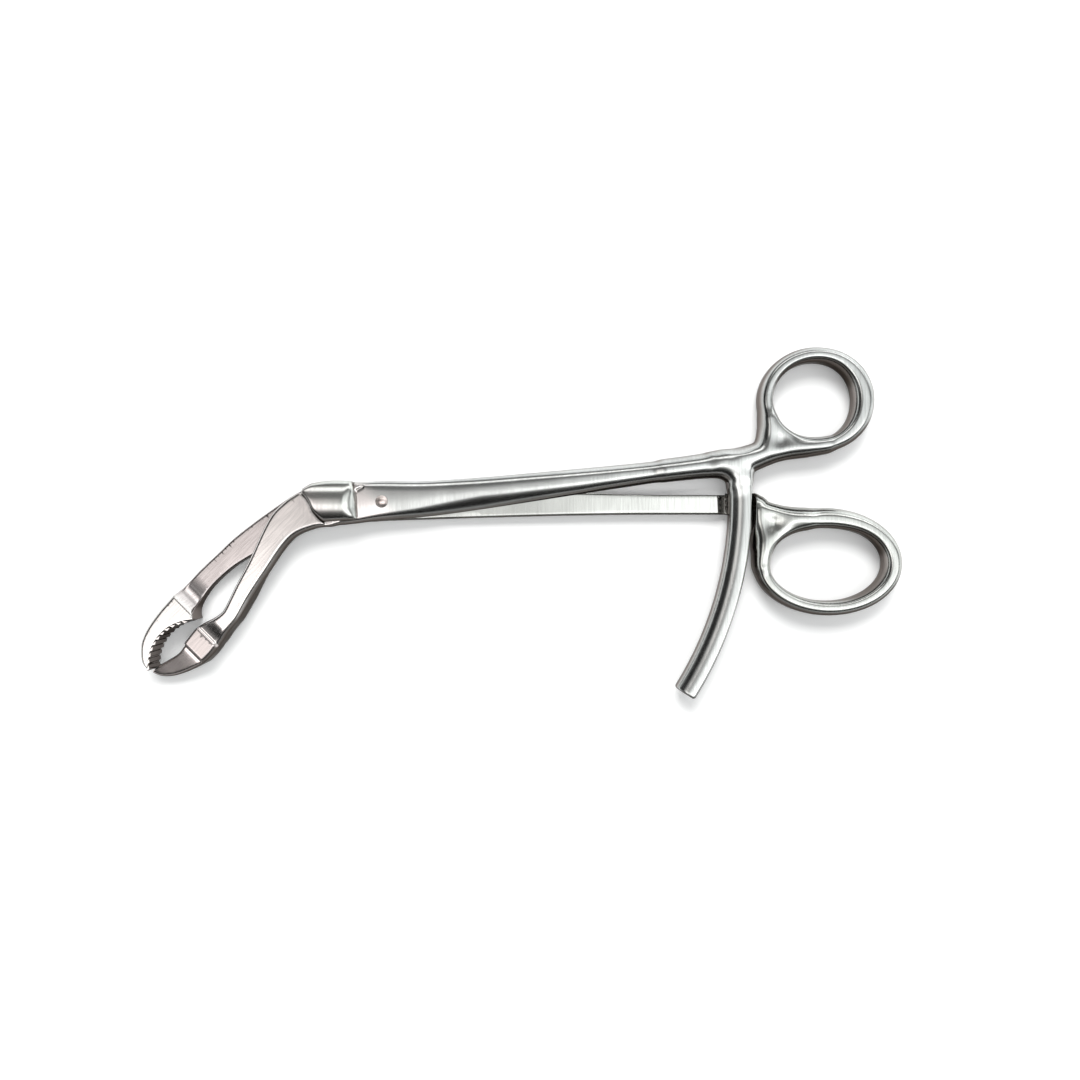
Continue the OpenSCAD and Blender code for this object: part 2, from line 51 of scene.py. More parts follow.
lugFar, lugNear, headH, armW = forceps["lugFar"], forceps["lugNear"], forceps["headH"], forceps["armW"]
ratchetR, barR, jawLen = forceps["ratchetR"], forceps["ratchetR"] + forceps["barW"], forceps["jawLen"]

# plan curves, as in the part's source
jawCos, jawSin = cos(radians(forceps["jawAngle"])), sin(radians(forceps["jawAngle"]))


def jawAt(along, across):
    return (-lugFar - along * jawCos - across * jawSin, -along * jawSin + across * jawCos)


def shankMid(x):
    return forceps["slope"] * (sqrt((x - armW) ** 2 + armW ** 2) + x - armW) / 2


def taper(wide, thin, x, length, power):
    return thin + (wide - thin) * max(0, 1 - max(0, x) / length) ** power


def shankStation(x, low, high, roundUp, roundDown):
    mid, half = shankMid(x), taper(armW, forceps["shankW"], x, 0.84 * ratchetR, 1.15) / 2
    return [(x, mid + half), (x, mid - half), low, high, roundUp, roundDown]


def stripStation(x, low, high, roundUp, roundDown):
    mid = -0.65 * min(1, max(0, x) / (0.8 * ratchetR))
    half = taper(armW - 0.2, forceps["stripW"], x, 0.8 * ratchetR, 1.4) / 2
    return [(x, mid + half), (x, mid - half), low, high, roundUp, roundDown]


def jawStation(share, inner, width, side, low, high, bevel, roundOut):
    wide = width * forceps["jawW"]
    if side > 0:
        return [jawAt(share * jawLen, inner + wide), jawAt(share * jawLen, inner), low, high,
                (roundOut, roundOut), (bevel, bevel)]
    return [jawAt(share * jawLen, inner), jawAt(share * jawLen, inner - wide), low, high,
            (bevel, bevel), (roundOut, roundOut * 1.4)]


def curveThrough(flat, held):      # smooth curve; columns from held on stay between their neighbours
    out = []
    for i in range(len(flat) - 1):
        p, q, r, s = flat[max(i - 1, 0)], flat[i], flat[i + 1], flat[min(i + 2, len(flat) - 1)]
        for t in np.arange(block["curveSteps"]) / block["curveSteps"]:
            row = 0.5 * (2 * q + (r - p) * t + (2 * p - 5 * q + 4 * r - s) * t * t
                         + (3 * q - p - 3 * r + s) * t ** 3)
            row[held:] = np.clip(row[held:], np.minimum(q, r)[held:], np.maximum(q, r)[held:])
            out.append(row)
    return np.array(out + [flat[-1]])


# each arm is a distance field on one grid, in millimetres; a shape is its columns and their distances
block = {
    "step": 0.23, "low": (-71.5, -58.5, -0.9), "high": (131.0, 41.5, 10.8),
    "rest": 0.0, "flatness": 0.0025, "far": 4.0, "ribbonReach": 3.2, "rodReach": 3.4, "underRound": 0.4,
    "curveSteps": 6, "tiny": 1e-6,
}
step, far = block["step"], block["far"]
axes = [np.arange(a, b, step) for a, b in zip(block["low"], block["high"])]
planX, planY = np.meshgrid(axes[0], axes[1], indexing="ij")
levels = axes[2][None, :]


def emptyField():
    return np.full((len(axes[0]), len(axes[1]), len(axes[2])), far, np.float32)


def corner(side, top, wide, tall):      # distance to a rounded edge whose radii differ
    qx, qz = side + wide, top + tall
    k1 = np.hypot(qx / wide, qz / tall)
    k2 = np.hypot(qx / wide ** 2, qz / tall ** 2)
    return np.where((qx > 0) & (qz > 0), k1 * (k1 - 1) / np.maximum(k2, block["tiny"]),
                    np.maximum(side, top))


def gridNear(pts, size):      # the grid's columns within size of the points' box
    i0, i1 = np.searchsorted(axes[0], [pts[:, 0].min() - size, pts[:, 0].max() + size])
    j0, j1 = np.searchsorted(axes[1], [pts[:, 1].min() - size, pts[:, 1].max() + size])
    return i0, j0, planX[i0:i1, j0:j1], planY[i0:i1, j0:j1]


def edgeGap(x, y, p, q):      # share along the edge from p to q, and the distance to it
    edge = q - p
    share = np.clip(((x - p[0]) * edge[0] + (y - p[1]) * edge[1]) / (edge @ edge), 0, 1)
    return share, np.hypot(x - p[0] - share * edge[0], y - p[1] - share * edge[1])


def ribbon(rows, relief):      # band through the stations, its top lowered by relief
    table = curveThrough(np.array([[*r[0], *r[1], r[2], r[3], *r[4], *r[5]] for r in rows], float), 4)
    reach, under = block["ribbonReach"], block["underRound"]
    up, down = table[:, 0:2], table[:, 2:4]
    wide = np.linalg.norm(down - up, axis=1)
    cross = (down - up) / wide[:, None]
    along = np.stack([-cross[:, 1], cross[:, 0]], 1)
    heading = np.gradient((up + down) / 2, axis=0)
    along *= np.sign((along * heading).sum(1))[:, None]
    place, share = np.full(planX.shape, -1), np.zeros(planX.shape)
    for i in range(len(table) - 1):      # which stretch of the band each column belongs to
        i0, j0, x, y = gridNear(np.array([up[i], up[i + 1], down[i], down[i + 1]]), reach + 1)
        here = slice(i0, i0 + x.shape[0]), slice(j0, j0 + x.shape[1])
        f0 = (x - up[i, 0]) * along[i, 0] + (y - up[i, 1]) * along[i, 1]
        f1 = (x - up[i + 1, 0]) * along[i + 1, 0] + (y - up[i + 1, 1]) * along[i + 1, 1]
        a = (x - up[i, 0]) * cross[i, 0] + (y - up[i, 1]) * cross[i, 1]
        first = -reach if i == 0 else 0
        last = reach if i == len(table) - 2 else 0
        spot = (f0 >= first) & (f1 < last) & (a > -reach) & (a < wide[i] + reach) & (place[here] < 0)
        place[here][spot] = i
        share[here][spot] = np.clip(f0 / np.maximum(f0 - f1, 1e-9), 0, 1)[spot]
    ix, iy = np.nonzero(place >= 0)
    i, t = place[ix, iy], share[ix, iy][:, None]
    x, y = planX[ix, iy][:, None], planY[ix, iy][:, None]
    near = [(x - up[k, 0][:, None]) * cross[k, 0][:, None] + (y - up[k, 1][:, None]) * cross[k, 1][:, None]
            for k in (i, i + 1)]
    a = near[0] + (near[1] - near[0]) * t
    row = table[i] + (table[i + 1] - table[i]) * t
    w = (wide[i] + (wide[i + 1] - wide[i]) * t[:, 0])[:, None]
    low, high = row[:, 4:5], row[:, 5:6] - relief(x, np.clip(a, 0, w))
    left = a < w / 2
    roundW = np.clip(np.where(left, row[:, 6:7], row[:, 8:9]), 0.1, 0.48 * w)
    roundH = np.clip(np.where(left, row[:, 7:8], row[:, 9:10]), 0.1, high - low - under - 0.05)
    side = np.where(left, -a, a - w)
    topPart = corner(side, levels - high, roundW, roundH)
    lowPart = corner(side, low - levels, under, under)
    d = np.where(levels > (low + under + high - roundH) / 2, topPart, lowPart)
    for k, sign in ((0, -1), (len(table) - 1, 1)):
        f = sign * ((x - up[k, 0]) * along[k, 0] + (y - up[k, 1]) * along[k, 1])
        close = np.hypot(x - up[k, 0], y - up[k, 1]) < 14      # only near that end of a bent band
        d = np.maximum(d, np.where(close, f, -far))
    return ix, iy, d.astype(np.float32)


def rod(points, halfW, midZ, halfH):      # round rod along the points
    pts = np.array(points, float)
    halfW, midZ, halfH = [np.broadcast_to(np.array(v, float), (len(pts),)) for v in (halfW, midZ, halfH)]
    size = halfW.max() + block["rodReach"]
    i0, j0, x, y = gridNear(pts, size)
    best = np.full(x.shape, 1e9)
    w, m, h = np.ones(x.shape), np.ones(x.shape), np.ones(x.shape)
    for i in range(len(pts) - 1):
        t, gap = edgeGap(x, y, pts[i], pts[i + 1])
        hit = gap < best
        best = np.where(hit, gap, best)
        w = np.where(hit, halfW[i] + (halfW[i + 1] - halfW[i]) * t, w)
        m = np.where(hit, midZ[i] + (midZ[i + 1] - midZ[i]) * t, m)
        h = np.where(hit, halfH[i] + (halfH[i + 1] - halfH[i]) * t, h)
    ix, iy = np.nonzero(best < size)
    r, w, m, h = [v[ix, iy][:, None] for v in (best, w, m, h)]
    rise = np.abs(levels - m)
    k1 = np.maximum((r / w) ** 2 + (rise / h) ** 2, 1e-9) ** 0.5
    k2 = np.hypot(r / w ** 2, rise / h ** 2)
    return ix + i0, iy + j0, (k1 * (k1 - 1) / np.maximum(k2, block["tiny"])).astype(np.float32)


def limb(rows):      # rod on a smooth curve: point, half width, level and half height
    out = curveThrough(np.array(rows, float), 5)
    return rod(out[:, :2], out[:, 2], out[:, 3], out[:, 4])


def ringRod(pts, halfW):      # closed ring whose outer and inner edges are rounded differently
    half = forceps["ringH"] / 2
    size = halfW.max() + block["rodReach"]
    i0, j0, x, y = gridNear(pts, size)
    best, w, out = np.full(x.shape, 1e9), np.ones(x.shape), np.ones(x.shape)
    for i in range(len(pts)):
        k = (i + 1) % len(pts)
        edge = pts[k] - pts[i]
        t, gap = edgeGap(x, y, pts[i], pts[k])
        hit = gap < best
        best = np.where(hit, gap, best)
        w = np.where(hit, halfW[i] + (halfW[k] - halfW[i]) * t, w)
        turn = (x - pts[i, 0]) * edge[1] - (y - pts[i, 1]) * edge[0]
        out = np.where(hit, np.where(turn > 0, 1, -1), out)
    ix, iy = np.nonzero(best < size)
    r, w = (best * out)[ix, iy][:, None], w[ix, iy][:, None]
    top = np.abs(levels - half) - half
    outer, inner = ringShape["outer"], ringShape["inner"]
    d = np.where(r > 0.1 * w, corner(r - w, top, outer[0] * w, outer[1]), corner(-r - w, top, inner[0] * w, inner[1]))
    return ix + i0, iy + j0, d.astype(np.float32)


def slab(points, low, high, rounding=0.0):      # extruded outline
    pts = np.array(points, float)
    i0, j0, x, y = gridNear(pts, far)
    best, inside = np.full(x.shape, 1e9), np.zeros(x.shape, bool)
    for i in range(len(pts)):
        p, q = pts[i - 1], pts[i]
        best = np.minimum(best, edgeGap(x, y, p, q)[1])
        if p[1] != q[1]:
            spans = (p[1] > y) != (q[1] > y)
            inside ^= spans & (x < p[0] + (y - p[1]) * (q - p)[0] / (q - p)[1])
    plan = np.where(inside, -best, best)
    ix, iy = np.nonzero(plan < far)
    a = plan[ix, iy][:, None]
    z = np.maximum(low - levels, levels - high)
    d = corner(a, z, rounding, rounding) if rounding else np.maximum(a, z)
    return ix + i0, iy + j0, d.astype(np.float32)


def softMin(a, b, k):
    h = np.maximum(k - np.abs(a - b), 0) / k
    return np.minimum(a, b) - h * h * k / 4


def softMax(a, b, k):
    return -softMin(-a, -b, k)


def add(field, piece, k=0.3):
    ix, iy, d = piece
    field[ix, iy] = softMin(field[ix, iy], d, k)


def cut(field, piece, k=0.15):
    ix, iy, d = piece
    field[ix, iy] = softMax(field[ix, iy], -d, k)


def meshOf(name, field):
    for axis in range(3):      # a light blur breaks every sharp edge, as polishing does
        whole, inner = np.moveaxis(field, axis, 0), np.moveaxis(field.copy(), axis, 0)
        whole[1:-1] = (inner[:-2] + 2 * inner[1:-1] + inner[2:]) / 4
    field = np.maximum(field, block["rest"] - axes[2][None, None, :])
    grid = openvdb.FloatGrid(1.0)
    grid.copyFromArray(np.clip(field, -1, 1).astype(np.float32), tolerance=1e-4)
    points, triangles, quads = grid.convertToPolygons(0.0, block["flatness"])
    points = points * step + np.array(block["low"])
    faces = [list(map(int, f)) for f in quads] + [list(map(int, f)) for f in triangles]
    mesh = bpy.data.meshes.new(name)
    mesh.from_pydata((points / 1000).tolist(), [], faces)
    mesh.validate()
    mesh.update()
    mesh.shade_smooth()
    slopes = np.zeros((len(points), 3))
    spot = (points - np.array(block["low"])) / step
    cell = np.clip(spot.astype(int), 1, np.array(field.shape) - 3)
    part = spot - cell
    for k in range(8):
        corners = np.array([k & 1, k >> 1 & 1, k >> 2 & 1])
        weight = np.prod(np.where(corners, part, 1 - part), axis=1)
        a, b, c = (cell + corners).T
        slopes[:, 0] += weight * (field[a + 1, b, c] - field[a - 1, b, c])
        slopes[:, 1] += weight * (field[a, b + 1, c] - field[a, b - 1, c])
        slopes[:, 2] += weight * (field[a, b, c + 1] - field[a, b, c - 1])
    slopes /= np.maximum(np.linalg.norm(slopes, axis=1), 1e-9)[:, None]
    piece = bpy.data.objects.new(name, mesh)
    bpy.context.scene.collection.objects.link(piece)
    mesh.normals_split_custom_set_from_vertices(slopes.tolist())
    low, high = points.min(0), points.max(0)
    print("piece", name, "faces", len(faces), "box", low.round(2), high.round(2))
    return piece


ringShape = {"outer": (0.95, 2.6), "inner": (0.72, 2.6), "points": 160, "inset": 0.06}


def ringPath(length, width, centre, dip, swell, over):      # oval with a dip and a thicker stretch at the near side
    rodW, rows = forceps["rodW"], []
    for i in range(ringShape["points"]):
        a = 2 * pi * i / ringShape["points"]
        sag = dip * exp(-((degrees(a) - 85) / 32) ** 2)
        more = over * exp(-((degrees(a) - 92) / 40) ** 2)
        wide = rodW + swell * max(0, cos(a)) ** 2
        rows.append((centre[0] + (length + rodW) / 2 * cos(a) - (wide - rodW) / 2,
                     centre[1] + (width + rodW) / 2 * sin(a) - sag + more / 2,
                     (wide + more) / 2 - ringShape["inset"]))
    rows = np.array(rows)
    return rows[:, :2], rows[:, 2]


print("stage: shapes ready, grid", planX.shape, len(axes[2]))

# lock arm
lugPlan = [(-lugFar, 2), (-lugFar + 1, 1.1), (-lugFar + 1.9, -0.3), (-lugFar + 2.7, -2.3), (-lugFar + 3.9, -3.8),
           (-lugFar + 5.2, -armW / 2 - 0.3), (-lugNear + 0.45, -armW / 2 + 0.3), (-lugNear + 0.55, -2.5),
           (-lugNear + 0.4, 0), (-lugNear, 2.2), (-lugNear - 0.6, 3.6), (-lugNear - 1.2, armW / 2 + 0.25),
           (-lugFar + 7.4, armW / 2 + 0.35), (-lugFar + 4.6, armW / 2 + 0.05), (-lugFar + 2.2, armW / 2 - 0.45),
           (-lugFar + 0.2, 3.1)]
lockArm = {
    "hollowR": 10.9, "hollowAlong": 0.825, "hollowAcross": 1.1 - 10.9, "hollowRoot": 0.34,
    "ringLength": 29.2, "ringWidth": 18.6, "ringDip": 0.7, "ringSwell": 0.7, "brow": 1.4,
    "ringCentre": (ratchetR + 10 + 14.6, -5.9 - 9.3), "stripLean": 0.07, "neckBlend": 2.6,
    "lugBlend": 0.9, "lugEnd": 0.45, "lugBow": 0.1, "lugLean": (0.7, 0.715),
    "seatMid": 1.85, "seatHalf": 4.55, "seatRunOut": 0.3,
}
hollowCentre = jawAt(lockArm["hollowAlong"] * jawLen, lockArm["hollowAcross"])
neck = lapLow


def rise(share):
    return neck + (headH - neck) * share


lockRows = [jawStation(*row) for row in (
    (0.977, -2.6, 0.10, 1, 0.5, headH - 0.5, 0, 0.3), (0.970, -2.6, 0.50, 1, 0, headH, 0, 0.6),
    (0.941, -2.6, 0.94, 1, 0, headH, 0, 0.7), (0.902, -2.6, 1.28, 1, 0, headH, 0, 0.7),
    (0.845, -2.6, 1.51, 1, 0, headH, 0, 0.7), (0.767, -2.6, 1.66, 1, 0, headH, 0, 0.7),
    (0.700, -2.5, 1.69, 1, 0, headH, 0, 0.7), (0.690, -2.0, 1.60, 1, 0, headH, 0, 0.7),
    (0.680, -1.1, 1.43, 1, 0, headH, 0, 0.7), (0.674, -0.6, 1.34, 1, 0, headH, 0, 0.7),
    (0.664, -0.05, 1.23, 1, 0, rise(0.80), 0, 0.6), (0.652, 0.38, 1.15, 1, 0, rise(0.58), 0, 0.6),
    (0.638, 0.7, 1.1, 1, 0, rise(0.38), 0, 0.5), (0.620, 1.0, 1.06, 1, 0, rise(0.20), 0, 0.5),
    (0.598, 1.3, 1.02, 1, 0, rise(0.07), 0, 0.4), (0.555, 1.7, 0.97, 1, 0, neck, 0, 0.4),
    (0.500, 1.75, 0.96, 1, 0, neck, 0, 0.4), (0.423, 1.4, 1.00, 1, 0, neck, 0, 0.4),
    (0.331, 0.2, 1.21, 1, 0, neck, 0, 0.4), (0.209, -2.0, 1.48, 1, 0, neck, 0, 0.4),
    (0.105, -4.0, 1.68, 1, 0, neck, 0, 0.4), (0.026, -6.4, 1.98, 1, 0, neck, 0, 0.4))]
softEdge = (0.3, 0.3)
lockRows += [
    [(-lugFar + 1.9, armW / 2 - 0.6), (-lugFar + 6.4, -armW / 2 - 0.6), 0, neck, softEdge, softEdge],
    [(-lugFar + 7.4, armW / 2 + 0.2), (-lugFar + 9.9, -armW / 2 - 0.5), 0, neck, softEdge, softEdge],
    [(-lugNear, armW / 2), (-lugNear, -armW / 2 - 0.3), 0, neck, softEdge, softEdge]]
lockRows += [stripStation(share / 10 * (ratchetR + 2), 0, neck, (0.5, 0.4), (0.5, 0.4)) for share in range(11)]

field = emptyField()
add(field, ribbon(lockRows, lambda x, a: a * lockArm["stripLean"] * np.clip((x - 3) / 8, 0, 1)), 0.01)
ringMid, ringHalf = ringPath(lockArm["ringLength"], lockArm["ringWidth"], lockArm["ringCentre"],
                             lockArm["ringDip"], lockArm["ringSwell"], lockArm["brow"])
ringLeft = lockArm["ringCentre"][0] - lockArm["ringLength"] / 2
neckLimbs = [
    limb([(ratchetR + 2, -0.6, 2.2, 3.1, 2.5), (barR + 1.6, -0.5, 2.1, 3.4, 3.0),
          (ringLeft - 1.5, -1.8, 2.0, 3.6, 3.4), (ringLeft + 3, -3.2, 1.9, 3.7, 3.6),
          (ringLeft + 9, -4.1, 1.8, 3.7, 3.6)]),
    limb([(ratchetR + 2, -0.9, 2.0, 3.1, 2.5), (barR + 1, -1.7, 2.0, 3.3, 2.9), (barR + 2.2, -4.6, 1.8, 3.6, 3.3),
          (ringLeft - 1.7, -8.8, 1.6, 3.7, 3.5), (ringLeft - 1.8, -12.5, 1.4, 3.7, 3.4),
          (ringLeft - 1.85, -15.5, 1.0, 3.7, 2.8)]),
]
neckPlan = [(ratchetR + 2, 1.9), (barR + 0.6, 1.7), (ringLeft - 3, 0.4), (ringLeft - 0.6, -1.0), (ringLeft + 3, -1.7),
            (ringLeft + 8, -2.9), (ringLeft + 9, -5), (ringLeft + 1.5, -8), (ringLeft - 1.2, -12.5),
            (ringLeft - 3.4, -11), (ringLeft - 3.9, -7.4), (ringLeft - 4.6, -5), (barR, -3.3), (ratchetR + 2, -3.1)]
handle = emptyField()
add(handle, ringRod(ringMid, ringHalf), 0.01)
add(handle, slab(neckPlan, 0.5, 6.4, 1.9), lockArm["neckBlend"])
for piece in neckLimbs:
    add(handle, piece, lockArm["neckBlend"])
field = softMin(field, handle, 0.8)
del handle

# lug over the plate: a dome whose end wall is rounded, with its web down to the lower layer
ix, iy, plan = slab(lugPlan, -99, 99)
x, y = planX[ix, iy][:, None], planY[ix, iy][:, None]
domeMid = forceps["lugTop"] - forceps["lugDomeR"]
dome = np.hypot(y, levels - domeMid) - forceps["lugDomeR"]
endSlope = ((x + lugNear - lockArm["lugEnd"] - np.abs(y + 1.5) * lockArm["lugBow"]) * lockArm["lugLean"][0]
            + (levels - forceps["lugLow"] - 0.2) * lockArm["lugLean"][1])
lug = softMax(softMax(plan, dome, lockArm["lugBlend"]), endSlope, lockArm["lugBlend"])
lug = softMax(lug, forceps["lugLow"] - levels, 0.2)
wall = np.maximum(forceps["webY"] + forceps["sideGap"] - y, forceps["bossR"] + forceps["sideGap"] - np.hypot(x, y))
web = np.maximum(np.maximum(plan, wall), np.maximum(1 - levels, levels - forceps["lugLow"] - 0.8))
lug = softMin(lug, web, 0.2)
field[ix, iy] = softMin(field[ix, iy], lug.astype(np.float32), 0.25)

# toothed hollow of the jaw's head, cut to the teeth's roots
ix, iy = np.nonzero(np.hypot(planX - hollowCentre[0], planY - hollowCentre[1]) < lockArm["hollowR"] + 3)
gap = np.hypot(planX[ix, iy] - hollowCentre[0], planY[ix, iy] - hollowCentre[1])[:, None]
hollow = np.broadcast_to(gap - lockArm["hollowR"] - lockArm["hollowRoot"], (len(ix), len(axes[2])))
cut(field, (ix, iy, hollow.astype(np.float32)), 0.1)

# seat in which the ratchet bar swings over the strip
padTop = forceps["barZ"] - 0.1 - forceps["toothDeep"]
swing = np.hypot(planX, planY)
ix, iy = np.nonzero((np.abs(swing - ratchetR - 1.8) < 8) & (planX > 0) & (np.abs(planY) < 12))
reachIn = np.clip(ratchetR - 0.5 - swing[ix, iy][:, None], 0, 3)
seat = np.maximum(np.abs(swing[ix, iy][:, None] - (ratchetR + lockArm["seatMid"])) - lockArm["seatHalf"],
                  padTop + reachIn ** 2 * lockArm["seatRunOut"] - levels)
cut(field, (ix, iy, seat.astype(np.float32)), 0.15)
lockPiece = meshOf("lockArm", field)
print("stage: lock arm done")

# ratchet arm
ratchetArm = {
    "ringLength": 21.4, "ringWidth": 18.8, "ringSwell": 1.6, "ringCentre": (ratchetR + 11 + 10.7, 15.8 + 9.4),
    "barStart": 7, "barInner": (3.9, 2.8), "barOuter": (0.8, 0.7), "barCrest": 1.6, "crownMid": 2.3,
    "barBlend": 2.0, "forkBlend": 1.8, "limbBlend": 2.2, "shankBlend": 2.6, "room": 0.15,
    "stopGroove": ([(-6.3, 2.65), (-4.7, 3.55)], 0.3, plateTop + 0.02, 0.42),
    "crown": ([-14, -8, 8, 24, 40, 60], [0, 0.012, 0.02, 0.045, 0.03, 0]),
}
bevel = forceps["bevelW"]
ratchetRows = [jawStation(*row) for row in (
    (0.997, -2.6, 0.12, -1, 0.6, 3.0, 0.2, 0.3), (0.979, -2.7, 0.52, -1, 0.1, 3.4, 0.3, 0.8),
    (0.946, -3.0, 0.82, -1, 0, 3.8, 0.3, 1), (0.908, -3.6, 0.96, -1, 0, 4.2, 0.3, 1),
    (0.854, -4.4, 1.06, -1, 0, 4.8, 0.3, 1), (0.815, -4.3, 1.22, -1, 0, 5.2, 0.3, 1),
    (0.796, -4.1, 1.34, -1, 0, 5.3, 0.3, 1), (0.790, -4.0, 1.36, -1, 0, 6.8, 0.3, 1.2),
    (0.745, -3.65, 1.43, -1, 0, 6.9, 0.3, 1.3), (0.704, -3.45, 1.40, -1, 0, 6.9, 0.3, 1.3),
    (0.698, -3.5, 1.37, -1, 0, 6.4, 0.3, 1.2), (0.684, -3.65, 1.33, -1, 0, 6.5, 0.4, 1.2),
    (0.664, -3.95, 1.24, -1, 0, 6.8, 0.7, 1.2), (0.644, -4.35, 1.11, -1, 0, 7.2, bevel, 1.2),
    (0.622, -4.8, 0.98, -1, 0, 7.5, bevel, 1.2),
    (0.584, -5.2, 0.86, -1, 0, headH, bevel, 1.2), (0.552, -4.9, 0.87, -1, 0, headH, bevel, 1.2),
    (0.462, -3.1, 0.96, -1, 0, headH, bevel, 1.4), (0.383, -1.7, 1.04, -1, 0.55 * lapHigh, headH, bevel, 1.4),
    (0.319, -0.5, 1.14, -1, lapHigh, headH, bevel, 1.4), (0.202, 2.0, 1.38, -1, lapHigh, headH, bevel, 1.4),
    (0.122, 3.2, 1.62, -1, lapHigh, headH, bevel, 1.4), (0.045, 3.1, 1.98, -1, lapHigh, headH, bevel, 1.4),
    (0.010, 2.7, 2.20, -1, lapHigh, headH, bevel, 1.4))]
ratchetRows += [
    [(-lugFar + 2.4, armW / 2 - 0.5), (-lugFar + 6.9, -armW / 2 - 1.4), lapHigh, headH, (0.6, 0.6), (1.3, 1.8)],
    [(-lugFar + 6.6, armW / 2), (-lugFar + 8.8, -armW / 2 - 1), lapHigh, headH, (0.6, 0.6), (1.3, 1.8)],
    [(-lugFar + 9.6, armW / 2), (-lugFar + 10.2, -armW / 2 - 0.9), lapHigh, plateTop, (1, 1), (1.3, 1.8)],
    [(-lugNear, armW / 2), (-lugNear + 0.4, -armW / 2 - 0.5), lapHigh, plateTop, (1, 1), (1.3, 1.8)]]
ratchetRows += [shankStation(share * ratchetR, low, plateTop, up, down) for share, low, up, down in (
    (0, lapHigh, (2.5, 1.1), (1.8, 1.7)), (0.12, lapHigh, (2.6, 1.15), (2.8, 2.1)),
    (0.28, lapHigh, (2.6, 1.3), (3.7, 2.6)), (0.42, lapHigh, (2.6, 1.6), (4.2, 2.7)),
    (0.58, lapHigh, (2.5, 2.2), (3.8, 2.7)), (0.70, 0.75 * lapHigh, (2.4, 2.6), (3, 3)),
    (0.84, 0.4 * lapHigh, (2.4, 2.6), (2.6, 3)), (0.90, 0.3 * lapHigh, (2.4, 2.6), (2.6, 3)),
    (0.96, 0.4 * lapHigh, (2.4, 2.4), (2.6, 2.6)))]
ratchetRows.append([(ratchetR + 0.5, shankMid(ratchetR) + 1.6), (ratchetR + 0.5, shankMid(ratchetR) - 1.6),
                    0.6 * lapHigh, plateTop - 1.6, (1.4, 1.4), (1.4, 1.4)])

field = emptyField()
add(field, ribbon(ratchetRows, lambda x, a: (a - ratchetArm["crownMid"]) ** 2 * np.interp(x, *ratchetArm["crown"])),
    0.01)
ringMid, ringHalf = ringPath(ratchetArm["ringLength"], ratchetArm["ringWidth"], ratchetArm["ringCentre"], 0,
                             ratchetArm["ringSwell"], 0)
handle = emptyField()
add(handle, ringRod(ringMid, ringHalf), 0.01)

# curved bar: flat underside, round top, rounded free end
angle = np.degrees(np.arctan2(planY, planX))
ix, iy = np.nonzero((np.abs(swing - ratchetR - 2.75) < 6.4) & (angle < 11) & (angle > -forceps["barEnd"] - 4))
across, barTop = swing[ix, iy][:, None] - (ratchetR + barR) / 2, forceps["barZ"] + forceps["barH"]
halfBar = forceps["barW"] / 2
topPart = np.where(across > ratchetArm["barCrest"],
                   corner(across - halfBar, levels - barTop, *ratchetArm["barOuter"]),
                   corner(-across - halfBar, levels - barTop, *ratchetArm["barInner"]))
flank = np.maximum(np.abs(across) - halfBar, forceps["barZ"] + forceps["toothDeep"] - levels)
endOut = (-forceps["barEnd"] - angle[ix, iy][:, None]) * radians(1) * swing[ix, iy][:, None]
startOut = (angle[ix, iy][:, None] - ratchetArm["barStart"]) * radians(1) * swing[ix, iy][:, None]
bar = np.maximum(softMax(np.maximum(topPart, flank), endOut, 0.7), startOut)
add(handle, (ix, iy, bar.astype(np.float32)), ratchetArm["barBlend"])

# limbs that carry the shank into the ring and the bar, blended into smooth fillets
mid85, ringX, ringY = shankMid(ratchetR), ratchetArm["ringCentre"][0] - 10.7, ratchetArm["ringCentre"][1]
limbs = [
    limb([(0.82 * ratchetR, shankMid(0.82 * ratchetR) + 0.1, 1.9, 4.3, 2.5),
          (0.92 * ratchetR, shankMid(0.92 * ratchetR), 2.3, 4.1, 2.85), (ratchetR, mid85, 2.6, 3.8, 3.2),
          (ringX - 3.2, mid85 + 1.6, 2.6, 3.7, 3.5), (ringX + 2, mid85 + 2.9, 2.2, 3.7, 3.6),
          (ringX + 8, 13.1, 1.9, 3.7, 3.6), (ringX + 13, 13.9, 1.5, 3.7, 3.5)]),
    limb([(ratchetR, mid85, 2.3, 3.8, 3.1), (ringX - 3.4, mid85 + 2.2, 2.4, 3.7, 3.4),
          (ringX - 1.2, mid85 + 5.4, 2.1, 3.7, 3.6), (ringX - 1.4, ringY - 5, 1.7, 3.7, 3.5)]),
    limb([(ratchetR - 1, mid85, 2.2, 3.9, 3.0), (ratchetR + 2.4, mid85 - 3.0, 2.6, 4.4, 2.8),
          (ratchetR + 2.75, mid85 - 5.6, 2.1, 4.5, 2.0)]),
]
forkPlan = [(0.95 * ratchetR, mid85 - 2), (0.95 * ratchetR, mid85 + 1.6), (ratchetR + 3, mid85 + 2.6),
            (ringX - 4, mid85 + 4.2), (ringX - 3.2, mid85 + 8)]
forkPlan += [tuple(ringMid[i]) for i in range(88, 124, 4)]
forkPlan += [(ringX + 8, 12.4), (ringX + 3, 11.2), (ringX - 2, 9.9), (barR + 0.6, 7.6), (barR + 0.1, 4.6),
             (ratchetR + 0.6, 3.8), (ratchetR, mid85 - 4)]
add(handle, slab(forkPlan, 0.6, 6.8, 2.4), ratchetArm["forkBlend"])
for piece in limbs:
    add(handle, piece, ratchetArm["limbBlend"])
field = softMin(field, handle, ratchetArm["shankBlend"])
del handle

